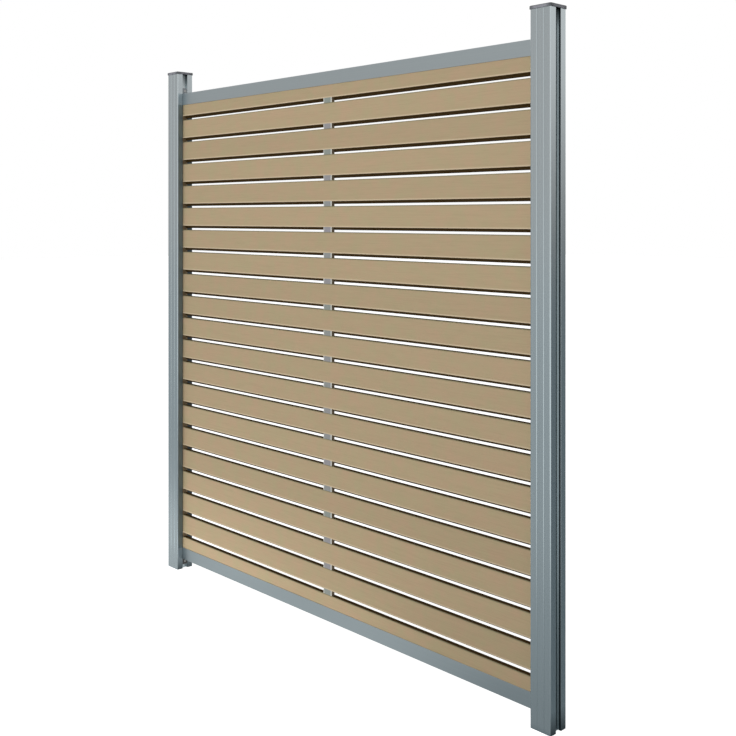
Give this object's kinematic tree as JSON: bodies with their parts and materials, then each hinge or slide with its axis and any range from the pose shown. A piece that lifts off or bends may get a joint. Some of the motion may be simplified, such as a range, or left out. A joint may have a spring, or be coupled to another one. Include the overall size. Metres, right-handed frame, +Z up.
{
  "type": "garden privacy screen",
  "caption": "Free-standing garden privacy screen of horizontal composite slats with see-through gaps, held in metal rails between two square grooved posts with flat caps.",
  "frame": {"origin": "on the ground, midway between the posts and midway through their depth", "axes": "+Z up, +X along the screen to the right-hand post as seen from the front, +Y from the front face to the back"},
  "size_m": [1.8956, 0.0756, 1.9781],
  "materials": {
    "post_metal": "natural anodised aluminium, satin",
    "rail_metal": "natural anodised aluminium, satin",
    "cap_plastic": "dark grey moulded plastic",
    "composite": "sand-brown wood-plastic composite, brushed",
    "spacer_plastic": "light grey moulded plastic",
    "hidden_plastic": "dark grey moulded plastic",
    "screw_steel": "plain stainless steel"
  },
  "bodies": {
    "root": {"post_left": "post_metal", "post_cap_left": "cap_plastic", "end_spacers_left": "hidden_plastic", "rail_support_left": "hidden_plastic", "rail_retainer_left": "hidden_plastic", "post_right": "post_metal", "post_cap_right": "cap_plastic", "end_spacers_right": "hidden_plastic", "rail_support_right": "hidden_plastic", "rail_retainer_right": "hidden_plastic", "top_rail": "rail_metal", "bottom_rail": "rail_metal", "slat_01": "composite", "slat_02": "composite", "slat_03": "composite", "slat_04": "composite", "slat_05": "composite", "slat_06": "composite", "slat_07": "composite", "slat_08": "composite", "slat_09": "composite", "slat_10": "composite", "slat_11": "composite", "slat_12": "composite", "slat_13": "composite", "slat_14": "composite", "slat_15": "composite", "slat_16": "composite", "slat_17": "composite", "slat_18": "composite", "slat_19": "composite", "slat_20": "composite", "slat_21": "composite", "centre_spacer_01": "spacer_plastic", "centre_spacer_02": "spacer_plastic", "centre_spacer_03": "spacer_plastic", "centre_spacer_04": "spacer_plastic", "centre_spacer_05": "spacer_plastic", "centre_spacer_06": "spacer_plastic", "centre_spacer_07": "spacer_plastic", "centre_spacer_08": "spacer_plastic", "centre_spacer_09": "spacer_plastic", "centre_spacer_10": "spacer_plastic", "centre_spacer_11": "spacer_plastic", "centre_spacer_12": "spacer_plastic", "centre_spacer_13": "spacer_plastic", "centre_spacer_14": "spacer_plastic", "centre_spacer_15": "spacer_plastic", "centre_spacer_16": "spacer_plastic", "centre_spacer_17": "spacer_plastic", "centre_spacer_18": "spacer_plastic", "centre_spacer_19": "spacer_plastic", "centre_spacer_20": "spacer_plastic", "block_screws": "screw_steel"}
  },
  "joints": []
}
